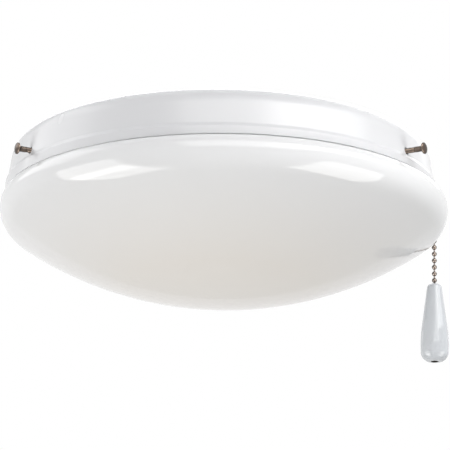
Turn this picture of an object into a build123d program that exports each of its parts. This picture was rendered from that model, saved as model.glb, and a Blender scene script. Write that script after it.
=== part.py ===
from build123d import *
import os
from math import asin, cos, degrees, floor, pi, radians, sin, sqrt

# A low ceiling fan light kit: a white steel fitter pan that hangs from the fan's switch
# housing, an opal glass bowl held in it by three thumbscrews, two lampholders with bulbs,
# and a pull-chain switch whose ball chain leaves through the side of the pan.
# Millimetres, +Z up. The origin is the centre of the pan's top face, which seats on the fan.

overrun = 1.0  # every cut runs this far past what it cuts

# Fitter pan, drawn from one steel sheet
pan_radius = 134.5  # at the rim
pan_height = 31.7
pan_skirt_height = 6.4
pan_skirt_flare = 1.5  # from the crease over the skirt out to the rim
pan_wall_lean = 4.0  # from the crease in to where the wall's line would meet the top face
pan_corner_radius = 14.0
pan_wall = 0.8
well_radius = 17.0  # the sunk centre that hides the upper nut
well_depth = 4.5
well_fillet = 2.0

# Opal glass bowl
bowl_overhang = 5.0  # how far the widest line stands out past the pan's rim
bowl_depth = 56.0  # from the widest line down to the lowest point
bowl_edge_radius = 18.0
bowl_shoulder_radius = 9.6
bowl_shoulder_gap = 0.2  # the pan's rim stands this far above the bowl's shoulder
bowl_wall = 3.5
bowl_shift = 2.0  # the screws grip the bowl this far to one side
neck_gap = 13.0  # from the pan's crease in to the neck
neck_fillet = 4.0
lip_rise = 14.2  # from the pan's rim up to the lip's top edge
lip_width = 2.0
lip_height = 2.8
lip_round = 0.9

# Three thumbscrews and the nuts clinched in the pan's wall
screw_azimuths = (90.0, -30.0, -150.0)
screw_radius = 1.75
screw_length = 21.8
screw_head_radius = 3.6
screw_flare_length = 2.4  # the shank widens into the head over this length
screw_rim_height = 0.7
screw_dome_height = 0.6
screw_rim_round = 0.3
screw_hole_radius = 2.3
screw_lip_gap = 0.3  # the resting tips stand this far outside the lip
screw_under_gap = 0.55  # and this far below it
screw_nut_flats = 8.0
screw_nut_height = 4.6
screw_nut_bore = 1.85

# Hollow threaded nipple, its nuts and washer
nipple_radius = 5.1
nipple_bore = 3.4
nipple_rise = 11.0  # above the pan's top face
nipple_length = 28.0
nipple_chamfer = 0.6
nut_flats = 16.0
nut_height = 3.6
nut_bore = 5.2
washer_radius = 8.6
washer_height = 1.2
washer_split = 1.6
nipple_hole_radius = 5.4

# Steel bridge that carries both lampholders
bridge_thick = 1.6
bridge_hub_radius = 14.0
bridge_tab_length = 16.0
bridge_width = 30.0
bridge_bend = 3.0
bridge_corner_round = 1.3  # outside each of the two folds
bridge_below_axis = 16.0  # how far the upright ends reach below the lamps' axes

# Lamps: two, side by side and head to tail
lamp_turns = (0.0, 180.0)
lamp_offset = 38.0  # from the centre to each lamp's axis
lamp_drop = 35.5  # from the pan's top face down to the lamps' axes
lamp_back = 53.0  # from the centre back to each lampholder's foot

# Glazed ceramic lampholder, its screw shell, contact and fixing screws
holder_length = 44.0
holder_foot_radius = 19.5
holder_foot_height = 7.0
holder_waist_radius = 17.5
holder_mouth_radius = 19.0
holder_mouth_height = 9.0
holder_mouth_bore = 15.6
holder_mouth_depth = 6.0
holder_bore = 13.9
holder_floor = 14.0
holder_round = 1.5
shell_radius = 13.6
shell_wall = 0.35
shell_length = 23.0
shell_flange = 4.0
contact_radius = 4.0
contact_thick = 0.6
contact_dome_radius = 2.4
contact_height = 2.8
contact_dome_round = 1.9
holder_screw_spacing = 20.0
holder_screw_radius = 1.7
holder_screw_length = 8.0
holder_screw_head_radius = 3.2
holder_screw_head_height = 1.8
holder_screw_gap = 0.15

# Bulb: frosted envelope, screw cap, insulator and end contact
bulb_length = 89.0
bulb_radius = 24.0
bulb_neck_radius = 12.2
bulb_seat_gap = 0.3  # from the lampholder's contact to the bulb's end
bulb_end_radius = 4.3
bulb_end_height = 1.0
bulb_insulator_radius = 10.0
bulb_insulator_height = 2.6
bulb_cap_radius = 12.9
bulb_cap_wall = 0.4
bulb_cap_length = 22.0
bulb_cap_foot_radius = 10.4
bulb_cap_foot_height = 2.4
bulb_globe_arc = 135.0  # how far round the globe goes before it turns into the neck
bulb_wall = 0.9

# Pull switch and the tube that leads its chain out through the wall
chain_azimuth = 30.0
chain_drop = 13.5  # from the pan's top face down to the tube's axis
case_neck_gap = 12.0  # from the case out to the bowl's neck
case_length = 24.0
case_width = 30.0
case_height = 17.0
case_round = 2.0
case_cover_thick = 1.6
barrel_radius = 3.4
barrel_bore = 2.1
barrel_socket = 5.0
barrel_reach = 7.9  # how far it stands out of the pan's wall
barrel_hole_radius = 3.7
barrel_nut_flats = 11.0
barrel_nut_height = 2.5
barrel_nut_setback = 2.6  # the flat nut's face from the curved wall
outlet_flange_radius = 5.4
outlet_flange_thick = 1.8
outlet_seat_gap = 0.15
outlet_thread_gap = 0.05
mouth_round_share = 0.98  # of half the tube's wall, for each of the two rounds at its mouth

# Ball chain
bead_radius = 1.6
bead_flat = 0.6
bead_bevel_height = 0.9
bead_bevel_angle = 45.0
bead_facets = 8
bead_pitch = 4.37
bar_radius = 0.45
bar_gap = 0.12  # from a bar to the bead that it swings about
chain_standoff = 16.0  # from the widest line of the bowl out to the hanging chain
chain_clearance = 0.22
upper_bead_count = 2
middle_bead_count = 2

# Glazed pull
pull_top_drop = 66.96
pull_length = 50.9
pull_top_radius = 4.4
pull_taper_radius = 8.6
pull_taper_drop = 31.0  # from the pull's top down to the end of its long taper
pull_widest_radius = 9.1
pull_widest_drop = 40.5
pull_foot_radius = 8.5
pull_bore = 1.9
pull_top_round = 2.6
pull_side_round = 60.0
pull_foot_round = 6.2
pull_recess_radius = 2.5
pull_recess_depth = 7.0
stop_radius = 2.1
stop_height = 3.2
stop_round = 0.8
stop_gap = 0.3

# What follows from the sizes above
crease_height = pan_skirt_height - pan_height
crease_radius = pan_radius - pan_skirt_flare
wall_slope = pan_wall_lean / -crease_height
wall_width = pan_wall * sqrt(wall_slope**2 + 1)  # the wall's thickness measured level
well_floor = -well_depth - pan_wall
bowl_radius = pan_radius + bowl_overhang
shoulder_top = -pan_height - bowl_shoulder_gap
widest_height = shoulder_top - bowl_shoulder_radius
neck_radius = crease_radius - neck_gap
lip_radius = neck_radius + lip_width
lip_top = lip_rise - pan_height
screw_height = lip_top - lip_height - screw_under_gap - screw_radius
crown_radius = (
    (bowl_radius - bowl_edge_radius) ** 2 + bowl_depth**2 - bowl_edge_radius**2
) / (2 * (bowl_depth - bowl_edge_radius))
crown_angle = degrees(asin((bowl_radius - bowl_edge_radius) / (crown_radius - bowl_edge_radius)))
case_outer_radius = neck_radius - case_neck_gap
case_inner_radius = case_outer_radius - case_length
chain_radius = bowl_radius + chain_standoff
bend_radius = 2 * bead_pitch / pi  # so that one bead turns the corner in one pitch
bend_center_radius = chain_radius - bend_radius
bend_height = -chain_drop - bend_radius
tube_bore = bead_radius + chain_clearance
tube_radius = 2 * bend_radius - tube_bore  # the mouth's round lip is centred on the bend
mouth_round = (tube_radius - tube_bore) / 2
pull_top = -pull_top_drop
side = Plane.XZ


def wall_radius(height):
    """The pan's outer radius at a height on the straight part of its wall."""
    return crease_radius - (height - crease_height) * wall_slope


def radial_plane(azimuth, radius, height):
    """A plane that faces straight out from the pan's axis."""
    out = Vector(cos(radians(azimuth)), sin(radians(azimuth)), 0)
    place = out * radius + Vector(0, 0, height)
    return Plane(origin=place, x_dir=(0, 0, 1), z_dir=out)


def lamp_point(turn, along, across=0, up=0):
    """A point given from the foot of a lampholder, along and across its axis."""
    point = Vector(along - lamp_back, lamp_offset + across, up - lamp_drop)
    return point.rotate(Axis.Z, turn)


def lamp_plane(turn, along):
    """A plane square to a lamp's axis, facing the way the bulb points."""
    direction = Vector(1, 0, 0).rotate(Axis.Z, turn)
    return Plane(origin=lamp_point(turn, along), x_dir=(0, 0, 1), z_dir=direction)


def lamp_side(turn):
    """A plane through a lamp's axis: its x runs from the lampholder's foot to the bulb."""
    direction = Vector(1, 0, 0).rotate(Axis.Z, turn)
    return Plane(origin=lamp_point(turn, 0), x_dir=direction, z_dir=direction.cross(Vector(0, 0, 1)))


def lamp_axis(turn):
    """The line that a lamp's round pieces turn about."""
    return Axis(lamp_point(turn, 0), Vector(1, 0, 0).rotate(Axis.Z, turn))


def finish(piece, name):
    """Labels a finished piece and writes it."""
    piece.part.label = name
    export_step(piece.part, f"parts/{name}.step")


os.makedirs("parts", exist_ok=True)

# Fitter pan: a drawn dish with a rounded brow, a tapered wall and a flared skirt
with BuildPart() as fitter_pan:
    with BuildSketch(side) as pan_profile:
        with BuildLine():
            Polyline(
                (nipple_hole_radius, -well_depth),
                (well_radius, -well_depth),
                (well_radius, 0),
                (wall_radius(0), 0),
                (crease_radius, crease_height),
                (pan_radius, -pan_height),
                (pan_radius - wall_width, -pan_height),
                (crease_radius - wall_width, crease_height),
                (wall_radius(-pan_wall) - wall_width, -pan_wall),
                (well_radius + pan_wall, -pan_wall),
                (well_radius + pan_wall, well_floor),
                (nipple_hole_radius, well_floor),
                close=True,
            )
        make_face()
        for corner, rounding in (
            ((wall_radius(0), 0), pan_corner_radius),
            ((wall_radius(-pan_wall) - wall_width, -pan_wall), pan_corner_radius - pan_wall),
            ((well_radius, 0), well_fillet),
            ((well_radius + pan_wall, -pan_wall), well_fillet - pan_wall),
            ((well_radius, -well_depth), well_fillet),
            ((well_radius + pan_wall, well_floor), well_fillet + pan_wall),
        ):
            fillet(pan_profile.vertices().sort_by_distance(corner)[0], rounding)
    revolve(axis=Axis.Z)
    with BuildSketch(*(radial_plane(a, neck_radius, screw_height) for a in screw_azimuths)):
        Circle(screw_hole_radius)
    extrude(amount=bowl_radius - neck_radius, mode=Mode.SUBTRACT)
    with BuildSketch(radial_plane(chain_azimuth, neck_radius, -chain_drop)):
        Circle(barrel_hole_radius)
    extrude(amount=bowl_radius - neck_radius, mode=Mode.SUBTRACT)
finish(fitter_pan, "fitter_pan")

# Clinch nuts: one behind each screw hole, their outer ends shaped to the pan's wall
nut_top = screw_height + screw_nut_flats
nut_foot = screw_height - screw_nut_flats
nut_face = wall_radius(screw_height) - wall_width - screw_nut_height
with BuildPart() as screw_nuts:
    with BuildSketch(*(radial_plane(a, nut_face, screw_height) for a in screw_azimuths)):
        RegularPolygon(screw_nut_flats / 2, 6, major_radius=False)
        Circle(screw_nut_bore, mode=Mode.SUBTRACT)
    extrude(amount=2 * screw_nut_height)
    with BuildSketch(side):
        with BuildLine():
            Polyline(
                (wall_radius(nut_top) - wall_width, nut_top),
                (bowl_radius, nut_top),
                (bowl_radius, nut_foot),
                (wall_radius(nut_foot) - wall_width, nut_foot),
                close=True,
            )
        make_face()
    revolve(axis=Axis.Z, mode=Mode.SUBTRACT)
finish(screw_nuts, "screw_nuts")


def lip_reach(azimuth):
    """How far the shifted bowl's lip reaches from the pan's axis in one direction."""
    along = bowl_shift * cos(radians(azimuth))
    across = bowl_shift * sin(radians(azimuth))
    return along + sqrt(lip_radius**2 - across**2)


# Thumbscrews: a shank that widens like a trumpet into a round head with a low dome
head_face = screw_length - screw_dome_height
head_back = head_face - screw_rim_height
for screw_azimuth, screw_name in zip(screw_azimuths, ("back", "right", "left")):
    tip = radial_plane(screw_azimuth, lip_reach(screw_azimuth) + screw_lip_gap, screw_height)
    with BuildPart() as thumbscrew:
        with BuildSketch(Plane(origin=tip.origin, x_dir=tip.z_dir, z_dir=-tip.y_dir)) as screw_profile:
            with BuildLine():
                shank = Polyline((0, 0), (0, screw_radius), (head_back - screw_flare_length, screw_radius))
                TangentArc(shank @ 1, (head_back, screw_head_radius), tangent=shank % 1)
                Line((head_back, screw_head_radius), (head_face, screw_head_radius))
                dome = TangentArc((screw_length, 0), (head_face, screw_head_radius), tangent=(0, 1))
                Line(dome @ 0, (0, 0))
            make_face()
            rim = screw_profile.vertices().sort_by_distance((head_face, screw_head_radius))[0]
            fillet(rim, screw_rim_round)
        revolve(axis=Axis(tip.origin, tip.z_dir))
    finish(thumbscrew, f"thumbscrew_{screw_name}")

# Opal bowl: a blown dish, open at its neck, with a lip that the screws reach under
bowl_plane = Plane(origin=(bowl_shift, 0, 0), x_dir=(1, 0, 0), z_dir=(0, -1, 0))
bowl_axis = Axis((bowl_shift, 0, 0), (0, 0, 1))
lowest_height = widest_height - bowl_depth
neck_bend = (neck_radius + neck_fillet, shoulder_top + neck_fillet)
shoulder_center = (bowl_radius - bowl_shoulder_radius, widest_height)
edge_center = (bowl_radius - bowl_edge_radius, widest_height)
crown_center = (0, lowest_height + crown_radius)
with BuildPart() as glass_bowl:
    with BuildSketch(bowl_plane):
        with BuildLine():
            for skin in (0, bowl_wall):  # how far inside the outer face: the outer wall, then the inner
                neck = Line((neck_radius - skin, lip_top), (neck_radius - skin, neck_bend[1]))
                CenterArc(neck_bend, neck_fillet + skin, 180, 90)
                Line((neck_bend[0], shoulder_top - skin), (shoulder_center[0], shoulder_top - skin))
                CenterArc(shoulder_center, bowl_shoulder_radius - skin, 90, -90)
                CenterArc(edge_center, bowl_edge_radius - skin, 0, crown_angle - 90)
                CenterArc(crown_center, crown_radius - skin, crown_angle - 90, -crown_angle)
            Line(neck @ 0, (neck_radius, lip_top))
            Line((0, lowest_height), (0, lowest_height + bowl_wall))
        make_face()
    revolve(axis=bowl_axis)
    with BuildSketch(bowl_plane) as lip_profile:
        with BuildLine():
            Polyline(
                (neck_radius - bowl_wall / 2, lip_top),
                (lip_radius, lip_top),
                (lip_radius, lip_top - lip_height),
                (neck_radius - bowl_wall / 2, lip_top - lip_height),
                close=True,
            )
        make_face()
        fillet(lip_profile.vertices().group_by(Axis.X)[-1], lip_round)
    revolve(axis=bowl_axis)
finish(glass_bowl, "glass_bowl")

# Nipple, its two nuts and the split washer that clamp the bridge under the pan
with BuildPart() as nipple:
    with BuildSketch(Plane.XY.offset(nipple_rise)):
        Circle(nipple_radius)
        Circle(nipple_bore, mode=Mode.SUBTRACT)
    extrude(amount=-nipple_length)
    outer_edges = nipple.edges().filter_by(
        lambda e: e.geom_type == GeomType.CIRCLE and e.radius > (nipple_radius + nipple_bore) / 2
    )
    chamfer(outer_edges, nipple_chamfer)
finish(nipple, "nipple")

bridge_floor = well_floor - bridge_thick
washer_floor = bridge_floor - washer_height
for nut_name, nut_seat in (
    ("nipple_nut_upper", -well_depth),
    ("nipple_nut_lower", washer_floor - nut_height),
):
    with BuildPart() as nut:
        with BuildSketch(Plane.XY.offset(nut_seat)):
            RegularPolygon(nut_flats / 2, 6, major_radius=False)
        extrude(amount=nut_height)
        with BuildSketch(Plane.XY.offset(nut_seat)):
            Circle(nut_bore)
        extrude(amount=nut_height, mode=Mode.SUBTRACT)
    finish(nut, nut_name)

with BuildPart() as lock_washer:
    with BuildSketch(Plane.XY.offset(washer_floor)):
        Circle(washer_radius)
        Circle(nut_bore, mode=Mode.SUBTRACT)
        with Locations((washer_radius, 0)):
            Rectangle(2 * (washer_radius - nipple_radius) + overrun, washer_split, mode=Mode.SUBTRACT)
    extrude(amount=washer_height)
finish(lock_washer, "lock_washer")

# Bridge: one pressed strap with a hub, two arms and two upright ends
with BuildPart() as lampholder_bridge:
    for turn in lamp_turns:
        with BuildSketch(Plane.XY.offset(bridge_floor).rotated((0, 0, turn))):
            Circle(bridge_hub_radius)
            with Locations((bridge_tab_length / 2 - lamp_back - bridge_thick, lamp_offset)):
                Rectangle(bridge_tab_length, bridge_width)
            make_hull()
        extrude(amount=bridge_thick)
    for turn in lamp_turns:
        with BuildSketch(lamp_plane(turn, -bridge_thick)):
            with Locations(((lamp_drop + well_floor - bridge_below_axis) / 2, 0)):
                Rectangle(lamp_drop + well_floor + bridge_below_axis, bridge_width)
        extrude(amount=bridge_thick)
    top_edges = lampholder_bridge.edges().filter_by(Axis.Y).group_by(Axis.Z)[-1].sort_by(Axis.X)
    fillet([top_edges[0], top_edges[-1]], bridge_corner_round)
    fillet(lampholder_bridge.edges().filter_by(Axis.X).group_by(Axis.Z)[0], bridge_bend)
    with BuildSketch(Plane.XY.offset(bridge_floor)):
        Circle(nipple_hole_radius)
    extrude(amount=bridge_thick, mode=Mode.SUBTRACT)
    for turn in lamp_turns:
        with BuildSketch(lamp_plane(turn, -bridge_thick)):
            with Locations((0, -holder_screw_spacing / 2), (0, holder_screw_spacing / 2)):
                Circle(holder_screw_radius + holder_screw_gap)
        extrude(amount=bridge_thick, mode=Mode.SUBTRACT)
finish(lampholder_bridge, "lampholder_bridge")

shell_foot = holder_floor
bulb_foot = shell_foot + contact_height + bulb_seat_gap
cap_foot = bulb_foot + bulb_end_height + bulb_insulator_height
cap_mouth = cap_foot + bulb_cap_length
neck_start = cap_foot + bulb_cap_foot_height
globe_center = bulb_foot + bulb_length - bulb_radius

for number, turn in enumerate(lamp_turns, start=1):
    # Lampholder: a ceramic cup with a heavy foot and a collared mouth
    with BuildPart() as lampholder:
        with BuildSketch(lamp_side(turn)) as holder_profile:
            with BuildLine():
                Polyline(
                    (0, 0),
                    (0, holder_foot_radius),
                    (holder_foot_height, holder_foot_radius),
                    (holder_foot_height + holder_round, holder_waist_radius),
                    (holder_length - holder_mouth_height, holder_waist_radius),
                    (holder_length - holder_mouth_height + holder_round, holder_mouth_radius),
                    (holder_length, holder_mouth_radius),
                    (holder_length, holder_mouth_bore),
                    (holder_length - holder_mouth_depth, holder_mouth_bore),
                    (holder_length - holder_mouth_depth, holder_bore),
                    (holder_floor, holder_bore),
                    (holder_floor, 0),
                    close=True,
                )
            make_face()
        revolve(axis=lamp_axis(turn))
        round_edges = lampholder.edges().filter_by(
            lambda e: e.geom_type == GeomType.CIRCLE and e.radius > holder_waist_radius
        )
        ends = round_edges.sort_by(lamp_axis(turn))
        fillet([ends[0], ends[-1]], holder_round)
        with BuildSketch(lamp_plane(turn, 0)):
            with Locations((0, -holder_screw_spacing / 2), (0, holder_screw_spacing / 2)):
                Circle(holder_screw_radius + holder_screw_gap)
        extrude(amount=holder_screw_length, mode=Mode.SUBTRACT)
    finish(lampholder, f"lampholder_{number}")

    # Screw shell: a thin brass sleeve with an inward flange at its foot
    with BuildPart() as screw_shell:
        with BuildSketch(lamp_plane(turn, shell_foot)):
            Circle(shell_radius)
        extrude(amount=shell_length)
        with BuildSketch(lamp_plane(turn, shell_foot + shell_wall)):
            Circle(shell_radius - shell_wall)
        extrude(amount=shell_length, mode=Mode.SUBTRACT)
        with BuildSketch(lamp_plane(turn, shell_foot)):
            Circle(shell_radius - shell_flange)
        extrude(amount=shell_wall, mode=Mode.SUBTRACT)
    finish(screw_shell, f"screw_shell_{number}")

    # Centre contact: a brass disc with a domed middle
    with BuildPart() as center_contact:
        with BuildSketch(lamp_plane(turn, shell_foot)):
            Circle(contact_radius)
        extrude(amount=contact_thick)
        with BuildSketch(lamp_plane(turn, shell_foot + contact_thick)):
            Circle(contact_dome_radius)
        extrude(amount=contact_height - contact_thick)
        dome = center_contact.faces().sort_by(lamp_axis(turn))[-1]
        fillet(dome.edges(), contact_dome_round)
    finish(center_contact, f"center_contact_{number}")

    # Bulb end: the contact, the glass insulator round it and the screw cap
    with BuildPart() as bulb_contact:
        with BuildSketch(lamp_plane(turn, bulb_foot)):
            Circle(bulb_end_radius)
        extrude(amount=bulb_end_height)
    finish(bulb_contact, f"bulb_contact_{number}")

    with BuildPart() as bulb_insulator:
        with BuildSketch(lamp_plane(turn, bulb_foot + bulb_end_height)):
            Circle(bulb_end_radius)
        with BuildSketch(lamp_plane(turn, cap_foot)):
            Circle(bulb_insulator_radius)
        loft()
    finish(bulb_insulator, f"bulb_insulator_{number}")

    with BuildPart() as bulb_cap:
        with BuildSketch(lamp_side(turn)):
            with BuildLine():
                Polyline(
                    (cap_foot, 0),
                    (cap_foot, bulb_cap_foot_radius),
                    (neck_start, bulb_cap_radius),
                    (cap_mouth, bulb_cap_radius),
                    (cap_mouth, bulb_cap_radius - bulb_cap_wall),
                    (neck_start, bulb_cap_radius - bulb_cap_wall),
                    (cap_foot + bulb_cap_wall, bulb_cap_foot_radius - bulb_cap_wall),
                    (cap_foot + bulb_cap_wall, 0),
                    close=True,
                )
            make_face()
        revolve(axis=lamp_axis(turn))
    finish(bulb_cap, f"bulb_cap_{number}")

    # Envelope: a globe drawn down to the neck that is cemented in the cap
    with BuildPart() as bulb_envelope:
        with BuildSketch(lamp_side(turn)):
            with BuildLine():
                outline = Polyline(
                    (globe_center + bulb_radius, 0),
                    (neck_start, 0),
                    (neck_start, bulb_neck_radius),
                    (cap_mouth, bulb_neck_radius),
                )
                globe = CenterArc((globe_center, 0), bulb_radius, 0, bulb_globe_arc)
                Spline(outline @ 1, globe @ 1, tangents=(outline % 1, -(globe % 1)))
            make_face()
        revolve(axis=lamp_axis(turn))
        neck_face = bulb_envelope.faces().sort_by(lamp_axis(turn))[0]
        offset(amount=-bulb_wall, openings=neck_face)
    finish(bulb_envelope, f"bulb_envelope_{number}")

# Lampholder screws: two through each upright end, heads behind it
with BuildPart() as lampholder_screws:
    for turn in lamp_turns:
        for across in (-holder_screw_spacing / 2, holder_screw_spacing / 2):
            with BuildSketch(lamp_plane(turn, -bridge_thick)):
                with Locations((0, across)):
                    Circle(holder_screw_radius)
            extrude(amount=holder_screw_length + bridge_thick - overrun)
            with BuildSketch(lamp_plane(turn, -bridge_thick)):
                with Locations((0, across)):
                    Circle(holder_screw_head_radius)
            extrude(amount=-holder_screw_head_height)
finish(lampholder_screws, "lampholder_screws")

# Pull switch: a moulded case with a riveted cover, inside the bowl's neck
chain_out = radial_plane(chain_azimuth, 0, -chain_drop)
barrel_end = wall_radius(-chain_drop) + barrel_reach
inner_bead_count = floor((bend_center_radius - case_inner_radius - case_length / 2) / bead_pitch)
chain_bore_end = bend_center_radius - (inner_bead_count + 1) * bead_pitch
with BuildPart() as switch_case:
    with BuildSketch(chain_out.offset(case_inner_radius)):
        Rectangle(case_height, case_width)
    extrude(amount=case_length)
    case_axis = Axis((0, 0, 0), chain_out.z_dir)
    fillet(switch_case.edges().filter_by(case_axis), case_round)
    with BuildSketch(chain_out.offset(case_outer_radius - barrel_socket)):
        Circle(barrel_radius)
    extrude(amount=barrel_socket, mode=Mode.SUBTRACT)
    with BuildSketch(chain_out.offset(chain_bore_end)):
        Circle(barrel_bore)
    extrude(amount=case_outer_radius - chain_bore_end, mode=Mode.SUBTRACT)
finish(switch_case, "switch_case")

with BuildPart() as switch_cover:
    with BuildSketch(chain_out.offset(case_inner_radius - case_cover_thick)):
        RectangleRounded(case_height, case_width, case_round)
    extrude(amount=case_cover_thick)
finish(switch_cover, "switch_cover")

with BuildPart() as switch_barrel:
    with BuildSketch(chain_out.offset(case_outer_radius - barrel_socket)):
        Circle(barrel_radius)
        Circle(barrel_bore, mode=Mode.SUBTRACT)
    extrude(amount=barrel_end - case_outer_radius + barrel_socket)
finish(switch_barrel, "switch_barrel")

barrel_nut_face = wall_radius(-chain_drop) - wall_width - barrel_nut_setback
with BuildPart() as barrel_nut:
    with BuildSketch(chain_out.offset(barrel_nut_face)):
        RegularPolygon(barrel_nut_flats / 2, 6, major_radius=False)
        Circle(barrel_radius + outlet_thread_gap, mode=Mode.SUBTRACT)
    extrude(amount=-barrel_nut_height)
finish(barrel_nut, "barrel_nut")

# Chain outlet: a flanged tube screwed on the barrel, with a round lip for the chain to turn on
outlet_seat = wall_radius(-chain_drop - outlet_flange_radius) + outlet_seat_gap
outlet_end = bend_center_radius + mouth_round
with BuildPart() as chain_outlet:
    with BuildSketch(chain_out.offset(outlet_seat)):
        Circle(outlet_flange_radius)
    extrude(amount=outlet_flange_thick)
    with BuildSketch(chain_out.offset(outlet_seat)):
        Circle(tube_radius)
    extrude(amount=outlet_end - outlet_seat)
    with BuildSketch(chain_out.offset(outlet_seat)):
        Circle(tube_bore)
    extrude(amount=outlet_end - outlet_seat, mode=Mode.SUBTRACT)
    with BuildSketch(chain_out.offset(outlet_seat)):
        Circle(barrel_radius + outlet_thread_gap)
    extrude(amount=barrel_end - outlet_seat, mode=Mode.SUBTRACT)
    mouth = chain_outlet.faces().sort_by(case_axis)[-1]
    fillet(mouth.edges(), mouth_round * mouth_round_share)
finish(chain_outlet, "chain_outlet")

chain_direction = Vector(cos(radians(chain_azimuth)), sin(radians(chain_azimuth)), 0)
down = Vector(0, 0, -1)


def hanging_point(height):
    """A point on the hanging chain's line."""
    return chain_direction * chain_radius + Vector(0, 0, height)


def add_beads(places, direction):
    """Adds a faceted bead at each place: a straight belt between two bevelled ends."""
    with BuildSketch(*(Plane(origin=p, z_dir=direction) for p in places)) as belt:
        RegularPolygon(bead_radius, bead_facets)
    extrude(belt.sketch, amount=bead_flat, both=True)
    for way in (direction, -direction):
        with BuildSketch(*(Plane(origin=p + way * bead_flat, z_dir=way) for p in places)) as end:
            RegularPolygon(bead_radius, bead_facets)
        extrude(end.sketch, amount=bead_bevel_height, taper=bead_bevel_angle)


def add_bar(start, end):
    """Adds the wire that links beads, from one point straight to another."""
    with BuildSketch(Plane(origin=start, z_dir=end - start)) as section:
        Circle(bar_radius)
    extrude(section.sketch, amount=(end - start).length)


# Chain inside the tube: it slides straight out as the pull comes down
inner_beads = [
    chain_direction * (bend_center_radius - n * bead_pitch) + Vector(0, 0, -chain_drop)
    for n in range(1, inner_bead_count + 1)
]
with BuildPart() as chain_inner:
    add_bar(inner_beads[-1], inner_beads[0])
    add_beads(inner_beads, chain_direction)
finish(chain_inner, "chain_inner")

with BuildPart() as chain_corner:
    add_beads([chain_direction * bend_center_radius + Vector(0, 0, -chain_drop)], chain_direction)
finish(chain_corner, "chain_corner")

# Hanging chain in three lengths, each swinging about the last bead of the one above
recess_roof = pull_top - pull_length + pull_recess_depth
bead_heights = []
height = bend_height
while height > recess_roof + bead_radius:
    bead_heights.append(height)
    height -= bead_pitch
upper_heights = bead_heights[:upper_bead_count]
middle_heights = bead_heights[upper_bead_count : upper_bead_count + middle_bead_count]
lower_heights = bead_heights[upper_bead_count + middle_bead_count :]
swing_start = bead_radius + bar_gap

with BuildPart() as chain_upper:
    add_bar(hanging_point(upper_heights[0]), hanging_point(upper_heights[-1]))
    add_beads([hanging_point(h) for h in upper_heights], down)
finish(chain_upper, "chain_upper")

with BuildPart() as chain_middle:
    add_bar(hanging_point(upper_heights[-1] - swing_start), hanging_point(middle_heights[-1]))
    add_beads([hanging_point(h) for h in middle_heights], down)
finish(chain_middle, "chain_middle")

stop_top = recess_roof - stop_gap
with BuildPart() as chain_lower:
    add_bar(hanging_point(middle_heights[-1] - swing_start), hanging_point(stop_top))
    add_beads([hanging_point(h) for h in lower_heights], down)
finish(chain_lower, "chain_lower")

# End stop: a crimped brass ferrule that carries the pull
with BuildPart() as chain_stop:
    with BuildSketch(Plane(origin=hanging_point(stop_top), z_dir=down)):
        Circle(stop_radius)
    extrude(amount=stop_height)
    fillet(chain_stop.edges().group_by(Axis.Z)[0], stop_round)
finish(chain_stop, "chain_stop")

# Pull: a glazed drop, bored through, with a recess at the foot for the end stop
pull_plane = Plane(origin=hanging_point(pull_top), x_dir=(1, 0, 0), z_dir=(0, -1, 0))
with BuildPart() as pull:
    with BuildSketch(pull_plane) as pull_profile:
        with BuildLine():
            Polyline(
                (pull_bore, 0),
                (pull_top_radius, 0),
                (pull_taper_radius, -pull_taper_drop),
                (pull_widest_radius, -pull_widest_drop),
                (pull_foot_radius, -pull_length),
                (pull_recess_radius, -pull_length),
                (pull_recess_radius, pull_recess_depth - pull_length),
                (pull_bore, pull_recess_depth - pull_length),
                close=True,
            )
        make_face()
        for corner, rounding in (
            ((pull_foot_radius, -pull_length), pull_foot_round),
            ((pull_widest_radius, -pull_widest_drop), pull_side_round),
            ((pull_taper_radius, -pull_taper_drop), pull_side_round),
            ((pull_top_radius, 0), pull_top_round),
        ):
            fillet(pull_profile.vertices().sort_by_distance(corner)[0], rounding)
    revolve(axis=Axis(hanging_point(pull_top), (0, 0, 1)))
finish(pull, "pull")
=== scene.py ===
from math import asin, atan2, copysign, cos, degrees, floor, pi, radians, sin, sqrt, tan

import bmesh
import bpy
from mathutils import Matrix, Vector


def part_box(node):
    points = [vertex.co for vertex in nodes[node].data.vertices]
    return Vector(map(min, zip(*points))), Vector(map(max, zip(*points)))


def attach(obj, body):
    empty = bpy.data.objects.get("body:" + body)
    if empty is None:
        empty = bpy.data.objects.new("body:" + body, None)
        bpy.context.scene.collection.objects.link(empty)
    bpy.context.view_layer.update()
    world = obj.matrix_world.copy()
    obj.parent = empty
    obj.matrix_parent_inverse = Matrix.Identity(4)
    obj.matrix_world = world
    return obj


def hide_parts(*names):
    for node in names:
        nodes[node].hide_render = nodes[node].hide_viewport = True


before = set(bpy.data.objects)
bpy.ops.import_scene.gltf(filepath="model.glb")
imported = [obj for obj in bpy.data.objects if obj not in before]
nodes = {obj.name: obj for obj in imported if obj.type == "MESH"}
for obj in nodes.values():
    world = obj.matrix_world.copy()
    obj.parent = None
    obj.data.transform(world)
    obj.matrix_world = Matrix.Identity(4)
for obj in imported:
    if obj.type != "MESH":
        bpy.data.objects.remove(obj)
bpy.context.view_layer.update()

# View: the photograph was taken from a little below the light and a long way off, so its lines
# hardly converge. The lens points at the glass, and the frame is shifted down to take in the pull.
MM = 0.001
photo_side = 450.0
aim_pixel = (223.924, 190.798)
aim = Vector((2.0, 0.0, -28.33)) * MM
camera_distance = 2.8067
camera_azimuth = radians(-88.5)
camera_below = radians(16.609)
camera_roll = radians(0.547)
away = Vector((cos(camera_azimuth) * cos(camera_below), sin(camera_azimuth) * cos(camera_below),
               -sin(camera_below)))
lens = bpy.data.cameras.new("camera")
lens.sensor_width = 36.0
lens.lens = 360.0
lens.shift_x = 0.5 - aim_pixel[0] / photo_side
lens.shift_y = aim_pixel[1] / photo_side - 0.5
lens.clip_end = 50.0
camera = bpy.data.objects.new("camera", lens)
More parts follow.
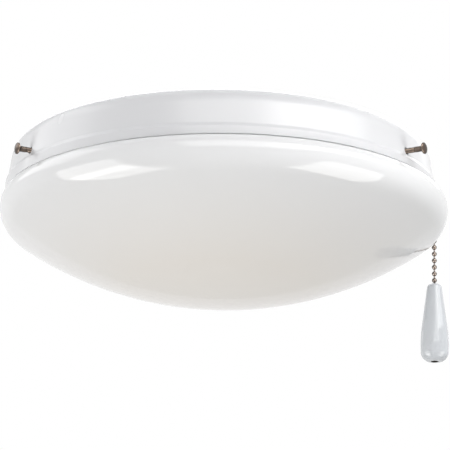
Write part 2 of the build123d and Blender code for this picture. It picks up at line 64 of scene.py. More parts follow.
turned_to_aim = (-away).to_track_quat("-Z", "Y").to_matrix() @ Matrix.Rotation(camera_roll, 3, "Z")
camera.matrix_world = Matrix.Translation(aim + away * camera_distance) @ turned_to_aim.to_4x4()
bpy.context.scene.collection.objects.link(camera)
bpy.context.scene.camera = camera
bpy.context.scene.view_settings.view_transform = "Standard"


def linear(code):
    """A colour written as an sRGB hex value, as the linear colour that a shader takes."""
    channels = [int(code[i : i + 2], 16) / 255 for i in (1, 3, 5)]
    return [c / 12.92 if c <= 0.04045 else ((c + 0.055) / 1.055) ** 2.4 for c in channels] + [1.0]


def add(owner, kind, settings=None, inputs=None, output=0):
    """Adds one shader node with its settings and sets or links its inputs. Gives one of its outputs."""
    made = owner.node_tree.nodes.new("ShaderNode" + kind)
    for name, value in (settings or {}).items():
        setattr(made, name, value)
    for name, value in (inputs or {}).items():
        if isinstance(value, bpy.types.NodeSocket):
            owner.node_tree.links.new(value, made.inputs[name])
        else:
            made.inputs[name].default_value = value
    return made.outputs[output] if len(made.outputs) else made


# Room: a plain white studio. The floor lies far below, where a ceiling light's floor is, and the
# air round the light is white to the eye and to gloss, and a soft grey to everything else.
def in_plain_sight(owner):
    """Gives 1 for a ray from the camera, through clear glass or off a gloss, and 0 for soft light."""
    rays = owner.node_tree.nodes.new("ShaderNodeLightPath")
    seen = add(owner, "Math", {"operation": "MAXIMUM"}, {0: rays.outputs["Is Camera Ray"],
                                                         1: rays.outputs["Is Transmission Ray"]})
    return add(owner, "Math", {"operation": "MAXIMUM"}, {0: seen, 1: rays.outputs["Is Glossy Ray"]})


room_light = "#34343A"
room = bpy.data.worlds.new("room")
room.use_nodes = True
room.node_tree.nodes.clear()
bpy.context.scene.world = room
shown = in_plain_sight(room)
soft_air = add(room, "Background", None, {"Color": linear(room_light), "Strength": 1.0})
white_air = add(room, "Background", None, {"Color": (1, 1, 1, 1), "Strength": 1.0})
air = add(room, "MixShader", None, {0: shown, 1: soft_air, 2: white_air})
add(room, "OutputWorld", None, {"Surface": air})

floor_drop = 5.0
floor_side = 40.0
work = bmesh.new()
bmesh.ops.create_grid(work, x_segments=1, y_segments=1, size=floor_side / 2,
                      matrix=Matrix.Translation((0, 0, -floor_drop)))
floor_mesh = bpy.data.meshes.new("floor")
work.to_mesh(floor_mesh)
work.free()
studio_floor = bpy.data.objects.new("studio_floor", floor_mesh)
bpy.context.scene.collection.objects.link(studio_floor)

# White plaster: a matt, pale surface that throws soft light up. In plain sight it shows its full white.
floor_white = linear("#F2F2F0")
plaster = bpy.data.materials.new("white_plaster_floor")
plaster.use_nodes = True
plaster.node_tree.nodes.clear()
floor_shown = in_plain_sight(plaster)
matt_floor = add(plaster, "BsdfDiffuse", None, {"Color": floor_white})
pale_floor = add(plaster, "Emission", None, {"Color": floor_white, "Strength": 1.0})
floor_finish = add(plaster, "MixShader", None, {0: floor_shown, 1: matt_floor, 2: pale_floor})
add(plaster, "OutputMaterial", None, {"Surface": floor_finish})
floor_mesh.materials.append(plaster)


def facing(direction):
    """The turn that points a thing's own Z axis along a direction."""
    return direction.to_track_quat("Z", "Y").to_matrix().to_4x4()


def softbox(name, place, width, height, brightness, color):
    """A rectangular lamp behind white cloth at a place in metres, turned to the light kit."""
    lamp = bpy.data.lights.new(name, "AREA")
    lamp.shape = "RECTANGLE"
    lamp.size = width
    lamp.size_y = height
    lamp.energy = brightness * pi * width * height
    lamp.color = linear(color)[:3]
    holder = bpy.data.objects.new(name, lamp)
    holder.matrix_world = Matrix.Translation(place) @ facing(Vector(place) - aim)
    bpy.context.scene.collection.objects.link(holder)


# Two lamps stand low on either side and show in the glass, and a third fills in below the left one. The
# others hang high in a ring round the light, most of them in front and on the right, and one stands behind.
softbox("low_right_softbox", (2.0, -0.75, -1.35), 1.7, 2.0, 3.65, "#FFFEFB")
softbox("low_left_softbox", (-2.0, -0.65, -1.05), 1.55, 1.9, 2.9, "#FFFEFB")
softbox("lower_left_softbox", (-1.6, -0.5, -1.9), 1.5, 1.5, 3.2, "#FFFEFB")
softbox("high_front_softbox", (0.45, -2.0, 1.35), 2.7, 1.8, 2.65, "#FFFEFC")
softbox("high_corner_softbox", (1.39, -1.39, 1.35), 1.15, 1.0, 3.8, "#FFFEFC")
softbox("high_right_softbox", (1.87, -0.61, 1.35), 1.15, 1.0, 3.2, "#FFFFFF")
softbox("high_left_softbox", (-1.9, 0.51, 1.35), 2.0, 1.6, 1.6, "#FFFFFF")
softbox("back_softbox", (0.3, 2.0, 1.5), 2.2, 1.3, 1.5, "#FFFFFF")


# Fitter pan: one steel sheet drawn to a shallow dish, with a sunk centre that seats on the fan, a
# wall that leans in above a soft crease and a flared rim. It is baked with gloss white enamel, and
# it is pierced for the three screws and the pull chain's outlet.
def to_point(work, tip, radius, height):
    """Carries an outline straight on from its tip to a point, in millimetres."""
    made = bmesh.ops.extrude_vert_indiv(work, verts=[tip])["verts"][0]
    made.co = Vector((radius, 0, height)) * MM
    return made


def round_bend(work, tip, center, turn, steps):
    """Carries an outline on round a centre by some degrees, counterclockwise if they are positive."""
    made = bmesh.ops.spin(work, geom=[tip], cent=Vector((center[0], 0, center[1])) * MM, axis=(0, -1, 0),
                          angle=radians(turn), steps=steps, space=Matrix())
    return made["geom_last"][0]


degrees_a_step = 9


def rounded_outline(work, corners, closed=False):
    """Draws an outline through corners, each a radius, a height and its own rounding in millimetres."""
    count = len(corners)
    tip = None
    first = None
    for index, (radius, height, rounding) in enumerate(corners):
        if rounding:
            corner = Vector((radius, height))
            back = (Vector(corners[index - 1][:2]) - corner).normalized()
            onward = (Vector(corners[(index + 1) % count][:2]) - corner).normalized()
            half = back.angle(onward) / 2
            start = corner + back * rounding / tan(half)
            center = corner + (back + onward).normalized() * rounding / sin(half)
        else:
            start = Vector((radius, height))
        if tip is None:
            tip = work.verts.new(Vector((start.x, 0, start.y)) * MM)
            first = tip
        else:
            tip = to_point(work, tip, start.x, start.y)
        if rounding:
            turn = copysign(180 - degrees(2 * half), onward.x * back.y - onward.y * back.x)
            tip = round_bend(work, tip, center, turn, 3 + int(abs(turn) / degrees_a_step))
    if closed:
        work.edges.new((tip, first))


def turned(work, steps, place=None):
    """Turns an outline once round the upright axis to a closed skin, then puts it in its place."""
    bmesh.ops.spin(work, geom=work.verts[:] + work.edges[:], cent=(0, 0, 0), axis=(0, 0, 1), angle=2 * pi,
                   steps=steps, use_merge=True, space=Matrix())
    bmesh.ops.remove_doubles(work, verts=work.verts[:], dist=0.001 * MM)
    bmesh.ops.dissolve_degenerate(work, edges=work.edges[:], dist=0.0005 * MM)
    bmesh.ops.recalc_face_normals(work, faces=work.faces[:])
    if place:
        bmesh.ops.transform(work, matrix=place, verts=work.verts[:])


crisp_angle = 30


def as_mesh(work, name, crease=crisp_angle):
    """Ends the making of a bmesh: a smooth mesh whose edges past an angle stay crisp."""
    mesh = bpy.data.meshes.new(name)
    work.to_mesh(mesh)
    work.free()
    mesh.polygons.foreach_set("use_smooth", [True] * len(mesh.polygons))
    mesh.set_sharp_from_angle(angle=radians(crease))
    return mesh


def hang(mesh, material, body, slot, *stands_for):
    """Makes a mesh a piece of the light: it rides on a body and stands for that body's nodes."""
    mesh.materials.append(material)
    piece = bpy.data.objects.new(mesh.name, mesh)
    bpy.context.scene.collection.objects.link(piece)
    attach(piece, body)
    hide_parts(*stands_for)
    return piece


def coated(name, color, roughness, metallic=0.0, patch_mm=20.0, spread=0.0, grain_mm=1.0,
           grain_depth_mm=0.0, **surface):
    """A finish on Object coordinates: colour and gloss wander over patches, and a fine grain stands up."""
    material = bpy.data.materials.new(name)
    material.use_nodes = True
    shader = material.node_tree.nodes["Principled BSDF"]
    shader.inputs["Base Color"].default_value = linear(color)
    shader.inputs["Metallic"].default_value = metallic
    for key, value in surface.items():
        shader.inputs[key.replace("_", " ")].default_value = value
    place = material.node_tree.nodes.new("ShaderNodeTexCoord").outputs["Object"]
    cloud = add(material, "TexNoise", None, {"Vector": place, "Scale": 1 / (patch_mm * MM), "Detail": 2.0})
    gloss = add(material, "MapRange", None, {"Value": cloud, "To Min": roughness * 0.8,
                                             "To Max": roughness * 1.25})
    material.node_tree.links.new(gloss, shader.inputs["Roughness"])
    if spread:
        worn = [c * (1 - spread) for c in linear(color)[:3]] + [1.0]
        tone = add(material, "Mix", {"data_type": "RGBA"}, {0: cloud, 6: worn, 7: linear(color)}, output=2)
        material.node_tree.links.new(tone, shader.inputs["Base Color"])
    if grain_depth_mm:
        grain = add(material, "TexNoise", None, {"Vector": place, "Scale": 1 / (grain_mm * MM),
                                                 "Detail": 2.0})
        bump = add(material, "Bump", None, {"Height": grain, "Distance": grain_depth_mm * MM})
        material.node_tree.links.new(bump, shader.inputs["Normal"])
    return material


def outward_at(azimuth):
    """The level direction at an azimuth in degrees."""
    return Vector((cos(radians(azimuth)), sin(radians(azimuth)), 0))


pan_low, pan_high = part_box("fitter_pan")
pan_radius = pan_high.x / MM
pan_height = -pan_low.z / MM
pan_wall = 0.8
skirt_height = 6.4
skirt_flare = 1.5
wall_lean = 4.0
brow_round = 14.0
crease_round = 2.5
ledge_drop = 2.2
ledge_round = 2.0
ledge_step = 0.15
rim_round = 0.3
well_radius = 17.0
well_depth = 4.5
well_round = 2.0
nipple_hole = 5.4
crease_radius = pan_radius - skirt_flare
crease_height = skirt_height - pan_height
skirt_radius = pan_radius - ledge_step
lean_slope = wall_lean / -crease_height
brow_radius = crease_radius - wall_lean
well_floor = -well_depth - pan_wall
work = bmesh.new()
rounded_outline(work, [
    (nipple_hole, -well_depth, 0),
    (well_radius, -well_depth, well_round),
    (well_radius, 0, well_round),
    (brow_radius, 0, brow_round),
    (crease_radius, crease_height, crease_round),
    (skirt_radius, crease_height - ledge_drop, ledge_round),
    (pan_radius, -pan_height, rim_round),
    (pan_radius - pan_wall, -pan_height, rim_round),
    (skirt_radius - pan_wall, crease_height - ledge_drop, ledge_round),
    (crease_radius - pan_wall, crease_height, crease_round),
    (brow_radius + pan_wall * lean_slope - pan_wall, -pan_wall, brow_round - pan_wall),
    (well_radius + pan_wall, -pan_wall, well_round - pan_wall),
    (well_radius + pan_wall, well_floor, well_round + pan_wall),
    (nipple_hole, well_floor, 0),
], closed=True)
large_steps = 240
turned(work, large_steps)

# The rim sits down close over the glass all round, although the bowl hangs a little to one side.
bowl_low, bowl_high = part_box("glass_bowl")
bowl_center = (bowl_low + bowl_high) / 2
bowl_radius = (bowl_high.x - bowl_low.x) / 2 / MM
bowl_bottom = bowl_low.z / MM
bowl_depth = 56.0
shoulder_round = 9.6
rim_clearance = 0.4
widest = bowl_bottom + bowl_depth
shoulder_top = widest + shoulder_round
for vert in work.verts:
    below_ledge = (crease_height - ledge_drop - vert.co.z / MM) / (skirt_height - ledge_drop)
    if below_ledge > 0:
        rim = Vector((vert.co.x, vert.co.y, 0)).normalized() * pan_radius * MM
        from_center = (rim - Vector((bowl_center.x, bowl_center.y, 0))).length / MM
        past_shoulder = from_center - bowl_radius + shoulder_round
        glass_height = widest + sqrt(shoulder_round**2 - past_shoulder**2)
        vert.co.z -= below_ledge * (-pan_height - glass_height - rim_clearance) * MM

# White baked enamel: a sprayed coat that levels to a deep gloss, with the faint orange peel that
# paint keeps and no colour of its own beyond a cool white.
white_enamel = coated("white_baked_enamel", "#DCDDE0", 0.24, patch_mm=35.0, grain_mm=3.0,
                      grain_depth_mm=0.003, IOR=1.5)
pan = hang(as_mesh(work, "enamelled_pan"), white_enamel, "fitter", "white_enamel", "fitter_pan")

screw_azimuths = {"back": 90.0, "right": -30.0, "left": -150.0}
screw_height = sum(corner.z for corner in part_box("thumbscrew_back")) / 2 / MM
screw_hole = 2.3
chain_azimuth = 30.0
outlet_height = -13.5
barrel_hole = 3.7
cutter_length = 16.0
cutters = bmesh.new()
for azimuth, height, hole in [(a, screw_height, screw_hole) for a in screw_azimuths.values()] + [
        (chain_azimuth, outlet_height, barrel_hole)]:
    outward = outward_at(azimuth)
    on_the_wall = (outward * crease_radius + Vector((0, 0, height))) * MM
    bmesh.ops.create_cone(cutters, cap_ends=True, segments=40, radius1=hole * MM, radius2=hole * MM,
                          depth=cutter_length * MM, matrix=Matrix.Translation(on_the_wall) @ facing(outward))
cutter = bpy.data.objects.new("hole_cutters", as_mesh(cutters, "hole_cutters"))
bpy.context.scene.collection.objects.link(cutter)
pierced = pan.modifiers.new("holes", "BOOLEAN")
pierced.object = cutter
pierced.operation = "DIFFERENCE"
pierced_mesh = bpy.data.meshes.new_from_object(pan.evaluated_get(bpy.context.evaluated_depsgraph_get()))
pan.modifiers.clear()
pan.data = pierced_mesh
pan.data.materials.clear()
pan.data.materials.append(white_enamel)
pan.data.set_sharp_from_angle(angle=radians(crisp_angle))
bpy.data.objects.remove(cutter)

# Glass bowl: blown opal glass, white all through, with an even wall. Its neck ends in a fire-polished
# lip inside the pan, where the screws grip it. The glass is glossy and very slightly wavy.
lip_top = bowl_high.z / MM
bowl_wall = 3.5
edge_round = 18.0
neck_radius = 120.0
neck_round = 4.0
lip_width = 2.0
lip_height = 2.8
lip_round = 0.9
edge_inset = bowl_radius - edge_round
crown_radius = (edge_inset**2 + bowl_depth**2 - edge_round**2) / (2 * (bowl_depth - edge_round))
crown_turn = degrees(asin(edge_inset / (crown_radius - edge_round)))
crown_center = (0, bowl_bottom + crown_radius)
edge_center = (edge_inset, widest)
shoulder_center = (bowl_radius - shoulder_round, widest)
neck_bend = (neck_radius + neck_round, shoulder_top + neck_round)
lip_radius = neck_radius + lip_width
lip_foot = lip_top - lip_height
inner_neck = neck_radius - bowl_wall
work = bmesh.new()
tip = work.verts.new(Vector((0, 0, bowl_bottom)) * MM)
tip = round_bend(work, tip, crown_center, crown_turn, 26)
tip = round_bend(work, tip, edge_center, 90 - crown_turn, 14)
tip = round_bend(work, tip, shoulder_center, 90, 14)
tip = to_point(work, tip, neck_bend[0], shoulder_top)
tip = round_bend(work, tip, neck_bend, -90, 8)
tip = to_point(work, tip, neck_radius, lip_foot)
tip = to_point(work, tip, lip_radius - lip_round, lip_foot)
tip = round_bend(work, tip, (lip_radius - lip_round, lip_foot + lip_round), 90, 6)
tip = round_bend(work, tip, (lip_radius - lip_round, lip_top - lip_round), 90, 6)
tip = to_point(work, tip, inner_neck + lip_round, lip_top)
tip = round_bend(work, tip, (inner_neck + lip_round, lip_top - lip_round), 90, 6)
tip = to_point(work, tip, inner_neck, neck_bend[1])
tip = round_bend(work, tip, neck_bend, 90, 8)
tip = to_point(work, tip, shoulder_center[0], shoulder_top - bowl_wall)
tip = round_bend(work, tip, shoulder_center, -90, 10)
tip = round_bend(work, tip, edge_center, crown_turn - 90, 12)
round_bend(work, tip, crown_center, -crown_turn, 24)
turned(work, large_steps, Matrix.Translation((bowl_center.x, bowl_center.y, 0)))

# Opal glass: scattering white glass under a mirror-smooth skin. Its colour is painted a darker, warmer white
# in the middle, as painted shade from the dark inside showing through, and a cooler white towards the steep
# edge. The skin's long low waves bend what it mirrors.
shaded_middle_white = "#E7E3DE"
middle_reach = 60.0
edge_white = "#EAEBED"
opal = bpy.data.materials.new("opal_glass")
opal.use_nodes = True
opal_shader = opal.node_tree.nodes["Principled BSDF"]
opal_shader.inputs["Roughness"].default_value = 0.045
opal_shader.inputs["IOR"].default_value = 1.52
opal_place = opal.node_tree.nodes.new("ShaderNodeTexCoord").outputs["Object"]
flat_place = add(opal, "VectorMath", {"operation": "MULTIPLY"}, {0: opal_place, 1: (1, 1, 0)})
outward_m = add(opal, "VectorMath", {"operation": "LENGTH"}, {0: flat_place}, output=1)
# Painted shade: the base colour darkens and warms from the edge towards the middle.
painted_shade_fade = add(opal, "MapRange", None, {"Value": outward_m, "From Min": middle_reach * MM,
                                          "From Max": bowl_radius * MM})
painted_shade_tone = add(opal, "Mix", {"data_type": "RGBA"}, {0: painted_shade_fade, 6: linear(shaded_middle_white),
                                                     7: linear(edge_white)}, output=2)
opal.node_tree.links.new(painted_shade_tone, opal_shader.inputs["Base Color"])
wave_mm = 70.0
wave_depth_mm = 0.35
wave = add(opal, "TexNoise", None, {"Vector": opal_place, "Scale": 1 / (wave_mm * MM), "Detail": 1.0})
wavy_skin = add(opal, "Bump", None, {"Height": wave, "Distance": wave_depth_mm * MM})
opal.node_tree.links.new(wavy_skin, opal_shader.inputs["Normal"])
hang(as_mesh(work, "opal_bowl"), opal, "bowl", "opal_glass", "glass_bowl")

# Thumbscrews: three turned brass screws with a trumpet-shaped head, nickel plated in a brownish tone, with
# painted dark reflection towards their edges. They run in the clinch nuts, and their tips reach under the
# bowl's lip.
screw_length = 21.8
shank_radius = 1.75
head_radius = 3.6
flare_length = 2.4
rim_height = 0.7
dome_height = 0.6
head_round = 0.3
tip_chamfer = 0.35
thread_length = 15.0
thread_pitch = 0.79
thread_depth = 0.32
rows_a_turn = 6
tip_gap = 0.3
bowl_shift = bowl_center.x / MM
head_face = screw_length - dome_height
head_back = head_face - rim_height
flare_radius = ((head_radius - shank_radius) ** 2 + flare_length**2) / (2 * (head_radius - shank_radius))
flare_turn = degrees(asin(flare_length / flare_radius))


def cut_thread(work, low, high, pitch, depth, crest):
    """Sinks a screw thread in a turned skin, between two heights and where it is as wide as the crest."""
    for vert in work.verts:
        radius = vert.co.xy.length
        if low * MM <= vert.co.z <= high * MM and abs(radius - crest * MM) < depth * MM:
            turn = vert.co.z / (pitch * MM) - atan2(vert.co.y, vert.co.x) / (2 * pi)
            slope = abs(2 * (turn - floor(turn)) - 1)
            fade = min(1, (vert.co.z - low * MM) / (pitch * MM), (high * MM - vert.co.z) / (pitch * MM))
            vert.co.xy *= 1 - depth * MM * (1 - slope) * fade / radius


# Satin nickel on brass: thin plate over a turned surface, so it mirrors softly and shows the warm
# tone of the brass under it.
satin_nickel = coated("satin_nickel_on_brass", "#8C7D72", 0.2, metallic=1.0, patch_mm=2.5, spread=0.28,
                      grain_mm=0.25, grain_depth_mm=0.004)


def painted_dark_reflection_at_a_slant(material, painted_dark_color, blend):
    """Paints dark reflection into a metal's colour where the eye meets it at a slant, as on a small round
    piece.
    """
    shader = material.node_tree.nodes["Principled BSDF"]
    plate = shader.inputs["Base Color"].links[0].from_socket
    slant = add(material, "LayerWeight", None, {"Blend": blend}, output=1)
    tone = add(material, "Mix", {"data_type": "RGBA"}, {0: slant, 6: plate, 7: linear(painted_dark_color)}, output=2)
    material.node_tree.links.new(tone, shader.inputs["Base Color"])


# Painted dark reflection: the screws' plate is painted darker towards its edges, in place of dark
# surroundings mirrored there.
painted_dark_reflection_at_a_slant(satin_nickel, "#241E1B", 0.62)
for side_name, azimuth in screw_azimuths.items():
    work = bmesh.new()
    tip = work.verts.new((0, 0, 0))
    tip = to_point(work, tip, shank_radius - tip_chamfer, 0)
    tip = to_point(work, tip, shank_radius, tip_chamfer)
    thread_rows = rows_a_turn * int(thread_length / thread_pitch)
    for row in range(1, thread_rows + 1):
        tip = to_point(work, tip, shank_radius, tip_chamfer + thread_length * row / thread_rows)
    tip = to_point(work, tip, shank_radius, head_back - flare_length)
    tip = round_bend(work, tip, (shank_radius + flare_radius, head_back - flare_length), -flare_turn, 9)
    tip = to_point(work, tip, head_radius, head_face - head_round)
    tip = round_bend(work, tip, (head_radius - head_round, head_face - head_round), 60, 4)
    for share in (0.8, 0.5, 0.2, 0):
        tip = to_point(work, tip, head_radius * share, head_face + dome_height * (1 - share**2))
    turned(work, 36)
    cut_thread(work, tip_chamfer, thread_length, thread_pitch, thread_depth, shank_radius)
    outward = outward_at(azimuth)
    reach = bowl_shift * outward.x + sqrt(lip_radius**2 - (bowl_shift * outward.y) ** 2) + tip_gap
    seat = (outward * reach + Vector((0, 0, screw_height))) * MM
    bmesh.ops.transform(work, matrix=Matrix.Translation(seat) @ facing(outward), verts=work.verts[:])
    hang(as_mesh(work, f"thumbscrew_{side_name}_turned"), satin_nickel, f"screw_{side_name}",
         "brushed_nickel", f"thumbscrew_{side_name}")

# It is rolled stock cut to length with chamfered ends.
nipple_low, nipple_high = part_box("nipple")
nipple_radius = nipple_high.x / MM
nipple_bore = 3.4
nipple_chamfer = 0.6
nipple_pitch = 1.0
nipple_thread = 0.4
nipple_foot = nipple_low.z / MM
nipple_top = nipple_high.z / MM
work = bmesh.new()
tip = first = work.verts.new(Vector((nipple_bore, 0, nipple_foot)) * MM)
tip = to_point(work, tip, nipple_radius - nipple_chamfer, nipple_foot)
thread_rows = rows_a_turn * int((nipple_top - nipple_foot) / nipple_pitch)
for row in range(thread_rows + 1):
    tip = to_point(work, tip, nipple_radius, nipple_foot + nipple_chamfer
                   + (nipple_top - nipple_foot - 2 * nipple_chamfer) * row / thread_rows)
tip = to_point(work, tip, nipple_radius - nipple_chamfer, nipple_top)
tip = to_point(work, tip, nipple_bore, nipple_top)
work.edges.new((tip, first))
turned(work, 48)
cut_thread(work, nipple_foot, nipple_top, nipple_pitch, nipple_thread, nipple_radius)

# Bright zinc plate: a thin cool coat on pressed steel, glossy where it was rolled and clouded
# where it was handled.
zinc_plate = coated("zinc_plated_steel", "#C2C6CB", 0.3, metallic=1.0, patch_mm=7.0, spread=0.16,
                    grain_mm=0.5, grain_depth_mm=0.004)
hang(as_mesh(work, "threaded_nipple"), zinc_plate, "fitter", "zinc_plate", "nipple")


# Steel fittings: the nipple's two nuts and its split washer, the clinch nuts behind the screw holes,
# the pressed bridge that carries the lampholders, its screws and the switch's flat nut. All are
# zinc plated and stand as the solids have them, with their triangles joined to one skin.
def skinned(node, material, body, slot, crease=30):
    """A piece with a node's own shape, its triangles joined so that it shades as one surface."""
    work = bmesh.new()
    work.from_mesh(nodes[node].data)
    bmesh.ops.remove_doubles(work, verts=work.verts[:], dist=0.001 * MM)
    hang(as_mesh(work, node + "_skin", crease), material, body, slot, node)


for fitting in ("screw_nuts", "nipple_nut_upper", "nipple_nut_lower", "lock_washer", "lampholder_bridge",
                "lampholder_screws", "barrel_nut"):
    skinned(fitting, zinc_plate, "fitter", "zinc_plate")

# Lampholders: two slip-cast porcelain cups with a clear glaze over a warm white body. The glaze
# pools a little and keeps faint ripples.
porcelain = coated("glazed_porcelain", "#EFEBE2", 0.11, patch_mm=14.0, spread=0.04, grain_mm=5.0,
                   grain_depth_mm=0.02, IOR=1.5)
for number in (1, 2):
    skinned(f"lampholder_{number}", porcelain, "fitter", "glazed_porcelain")

# Screw shells and centre contacts: thin stamped brass. The shell's wall is rolled to the thread that
# the lamp's cap runs in, and the contact's dome is pressed up from below.
def lamp_place(low, high, way):
    """Where a turned piece on the lamps' level axis stands: its foot at the near end of its box."""
    foot = Vector((low.x if way > 0 else high.x, (low.y + high.y) / 2, lamp_axis_height))
    return Matrix.Translation(foot) @ Matrix.Rotation(way * pi / 2, 4, "Y")


shell_crest = 13.6
shell_wall = 0.35
shell_depth = 0.24
shell_rows = 48
flange_reach = 4.0
cap_pitch = 3.63
lamp_steps = 72

# Stamped brass: a yellow sheen where the press rubbed it, and duller patches between.
stamped_brass = coated("stamped_brass", "#C8A45E", 0.27, metallic=1.0, patch_mm=6.0, spread=0.18,
                       grain_mm=0.4, grain_depth_mm=0.003)
lamp_axis_height = sum(corner.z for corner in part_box("lampholder_1")) / 2
for number, way in ((1, 1), (2, -1)):
    shell_low, shell_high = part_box(f"screw_shell_{number}")
    shell_length = (shell_high.x - shell_low.x) / MM
    work = bmesh.new()
    tip = work.verts.new(Vector((shell_crest - flange_reach, 0, 0)) * MM)
    tip = to_point(work, tip, shell_crest, 0)
    for row in range(1, shell_rows + 1):
        tip = to_point(work, tip, shell_crest, shell_length * row / shell_rows)
    turned(work, lamp_steps)
    for vert in work.verts:
        turn = vert.co.z / (cap_pitch * MM) - atan2(vert.co.y, vert.co.x) / (2 * pi)
        if vert.co.xy.length > (shell_crest - shell_wall) * MM:
            vert.co.xy *= 1 + shell_depth * MM * (0.5 + 0.5 * cos(2 * pi * turn)) / vert.co.xy.length
    bmesh.ops.solidify(work, geom=work.faces[:], thickness=shell_wall * MM)
    bmesh.ops.transform(work, matrix=lamp_place(shell_low, shell_high, way), verts=work.verts[:])
    hang(as_mesh(work, f"rolled_shell_{number}"), stamped_brass, "fitter", "brass", f"screw_shell_{number}")
    skinned(f"center_contact_{number}", stamped_brass, "fitter", "brass")

# Lamps: two frosted bulbs. A blown envelope is cemented in a thin aluminium cap rolled to the screw
# thread; black glass insulates the solder tip from the cap.
cap_radius = 12.9
cap_wall = 0.4
cap_foot_radius = 10.4
cap_foot_height = 2.4
cap_thread = 0.55
cap_rows = 48

# The frosting spreads light evenly, the cap has a thin metal sheen, the solder is dull and lumpy, and
# the black glass keeps a wet gloss.
lamp_glass = coated("frosted_lamp_glass", "#EFEBE1", 0.36, patch_mm=18.0, spread=0.03, grain_mm=0.6,
                    grain_depth_mm=0.004, IOR=1.5)
cap_aluminium = coated("stamped_lamp_cap_aluminium", "#C6C8CA", 0.28, metallic=1.0, patch_mm=5.0, spread=0.12,
                       grain_mm=0.3, grain_depth_mm=0.003)
solder = coated("tin_solder", "#A7A6A2", 0.4, metallic=1.0, patch_mm=1.5, spread=0.2, grain_mm=0.5,
                grain_depth_mm=0.02)
black_glass = coated("black_insulating_glass", "#151316", 0.14, patch_mm=4.0)
for number, way in ((1, 1), (2, -1)):
    cap_low, cap_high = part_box(f"bulb_cap_{number}")
    cap_length = (cap_high.x - cap_low.x) / MM
    cap_side_length = cap_length - cap_foot_height
    work = bmesh.new()
    tip = work.verts.new((0, 0, 0))
    tip = to_point(work, tip, cap_foot_radius, 0)
    tip = to_point(work, tip, cap_radius, cap_foot_height)
    for row in range(1, cap_rows + 1):
        tip = to_point(work, tip, cap_radius, cap_foot_height + cap_side_length * row / cap_rows)
    to_point(work, tip, cap_radius - cap_wall, cap_length)
    turned(work, lamp_steps)
    cut_thread(work, cap_foot_height, cap_length - cap_pitch / 2, cap_pitch, cap_thread, cap_radius)
    bmesh.ops.transform(work, matrix=lamp_place(cap_low, cap_high, way), verts=work.verts[:])
    hang(as_mesh(work, f"rolled_cap_{number}", 50), cap_aluminium, f"bulb_{number}", "bulb_aluminium",
         f"bulb_cap_{number}")
    skinned(f"bulb_envelope_{number}", lamp_glass, f"bulb_{number}", "frosted_glass", 40)
    skinned(f"bulb_insulator_{number}", black_glass, f"bulb_{number}", "vitrite")
    skinned(f"bulb_contact_{number}", solder, f"bulb_end_{number}", "solder")

# Pull switch: a moulded black case with its riveted cover, and the brass barrel that fixes it in the
# pan's wall. The moulding is matt, with the fine dimples of its tool.
phenolic = coated("black_moulded_phenolic", "#1C1B1A", 0.42, patch_mm=5.0, spread=0.15, grain_mm=0.35,
                  grain_depth_mm=0.01)
skinned("switch_case", phenolic, "fitter", "black_phenolic")
skinned("switch_cover", phenolic, "fitter", "black_phenolic")
skinned("switch_barrel", stamped_brass, "fitter", "brass")

# Chain outlet: a turned tube with a flange against the pan and a round lip that the chain bends over,
# plated like the screws, with the same painted dark reflection towards its edges.
skinned("chain_outlet", satin_nickel, "fitter", "brushed_nickel", 40)

# Ball chain: hollow beads rolled round the heads of short wires, nickel plated. Each bead is a thin
# ball with a hole at each end, and the wire shows between beads.
bead_radius = 1.6
bead_hole = 0.62
bead_pitch = 4.37
wire_radius = 0.45
wire_gap = 0.12
hole_turn = degrees(asin(bead_hole / bead_radius))

# Nickel on rolled beads: small bright balls that mirror the room, with a brown tarnish that wanders at
# random, and painted dark reflection towards each bead's edge.
bead_nickel = coated("nickel_beads_tarnish_and_painted_dark_edges", "#A89B92", 0.17, metallic=1.0, patch_mm=1.4, spread=0.5,
                     grain_mm=0.4, grain_depth_mm=0.006)
# Painted dark reflection: each bead's colour darkens towards its edge, in place of dark surroundings mirrored
# there.
painted_dark_reflection_at_a_slant(bead_nickel, "#221B19", 0.7)


def chain_run(name, body, node, beads, direction, wire):
    """A run of beads along one direction, with the wire from its first point to its last."""
    turn_to = facing(direction)
    run = bmesh.new()
    for place in beads:
        ball = bmesh.new()
        tip = ball.verts.new(Vector((bead_hole, 0, -bead_radius * cos(radians(hole_turn)))) * MM)
        round_bend(ball, tip, (0, 0), 180 - 2 * hole_turn, 12)
        turned(ball, 20, Matrix.Translation(place) @ turn_to)
        ball_mesh = bpy.data.meshes.new("ball")
        ball.to_mesh(ball_mesh)
        ball.free()
        run.from_mesh(ball_mesh)
        bpy.data.meshes.remove(ball_mesh)
    if wire:
        middle = (wire[0] + wire[1]) / 2
        bmesh.ops.create_cone(run, cap_ends=True, segments=14, radius1=wire_radius * MM,
                              radius2=wire_radius * MM, depth=(wire[1] - wire[0]).length,
                              matrix=Matrix.Translation(middle) @ turn_to)
    hang(as_mesh(run, name, 50), bead_nickel, body, "chain_nickel", node)


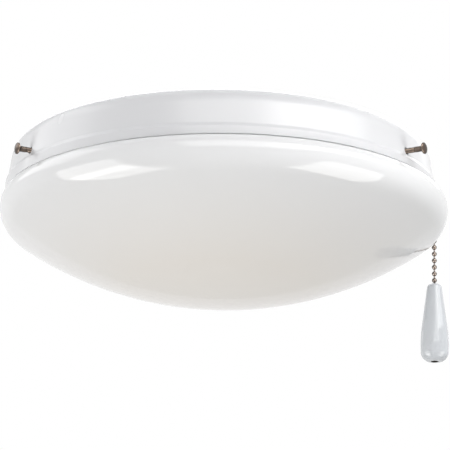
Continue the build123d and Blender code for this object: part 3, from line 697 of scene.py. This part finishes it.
chain_out = outward_at(chain_azimuth)
upper_low, upper_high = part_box("chain_upper")
chain_line = Vector(((upper_low.x + upper_high.x) / 2, (upper_low.y + upper_high.y) / 2, 0))
first_bead = upper_high.z - bead_radius * MM
down = Vector((0, 0, -1))
pitch = bead_pitch * MM
stop_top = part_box("chain_stop")[1].z
upper_count = 2
middle_end = upper_count + 2
lower_count = int((first_bead - middle_end * pitch - stop_top) / pitch) + 1
hanging = [chain_line + down * (n * pitch - first_bead) for n in range(middle_end + lower_count)]
last_upper = hanging[upper_count - 1]
last_middle = hanging[middle_end - 1]
link_start = down * (bead_radius + wire_gap) * MM
chain_run("beads_at_the_outlet", "upper_chain", "chain_upper", hanging[:upper_count], down,
          (hanging[0], last_upper))
chain_run("beads_of_the_middle", "middle_chain", "chain_middle", hanging[upper_count:middle_end], down,
          (last_upper + link_start, last_middle))
chain_run("beads_to_the_pull", "lower_chain", "chain_lower", hanging[middle_end:], down,
          (last_middle + link_start, chain_line + Vector((0, 0, stop_top))))
corner_low, corner_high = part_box("chain_corner")
corner_bead = (corner_low + corner_high) / 2
inner_low, inner_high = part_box("chain_inner")
inner_count = round((inner_high.xy - inner_low.xy).length / pitch)
inner = [corner_bead - chain_out * pitch * n for n in range(1, inner_count + 1)]
chain_run("corner_ball", "corner_bead", "chain_corner", [corner_bead], chain_out, None)
chain_run("beads_in_the_tube", "inner_chain", "chain_inner", inner, chain_out, (inner[-1], inner[0]))

# End stop: a brass ferrule crimped on the chain's last wire, inside the pull's foot.
skinned("chain_stop", stamped_brass, "lower_chain", "brass")

# Pull: a cast drop with a gloss white glaze over it, bored through for the chain, with a recess at
# its foot for the end stop. The glaze is thick and smooth, and it mirrors the softboxes.
pull_glaze = coated("gloss_white_glaze", "#D0D4D9", 0.07, patch_mm=10.0, spread=0.03, grain_mm=6.0,
                    grain_depth_mm=0.02, IOR=1.52)
skinned("pull", pull_glaze, "pull", "pull_glaze", 40)

# Painted shade in the recess: a thin dark matt lining inside the hole in the pull's foot paints the shade
# that falls there.
painted_recess_shade = coated("painted_shade_in_recess", "#3B3530", 0.85, patch_mm=2.0, spread=0.2)
recess_radius = 2.48
recess_wall = 0.12
recess_depth = 6.8
recess_edge = 0.1
work = bmesh.new()
rounded_outline(work, [
    (recess_radius - recess_wall, recess_edge, 0),
    (recess_radius, recess_edge, 0),
    (recess_radius, recess_depth, 0),
    (recess_radius - recess_wall, recess_depth, 0),
], closed=True)
pull_low, pull_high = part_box("pull")
foot_place = Vector(((pull_low.x + pull_high.x) / 2, (pull_low.y + pull_high.y) / 2, pull_low.z))
turned(work, 48, Matrix.Translation(foot_place))
hang(as_mesh(work, "painted_shade_recess_lining"), painted_recess_shade, "pull", "pull_glaze", "pull")
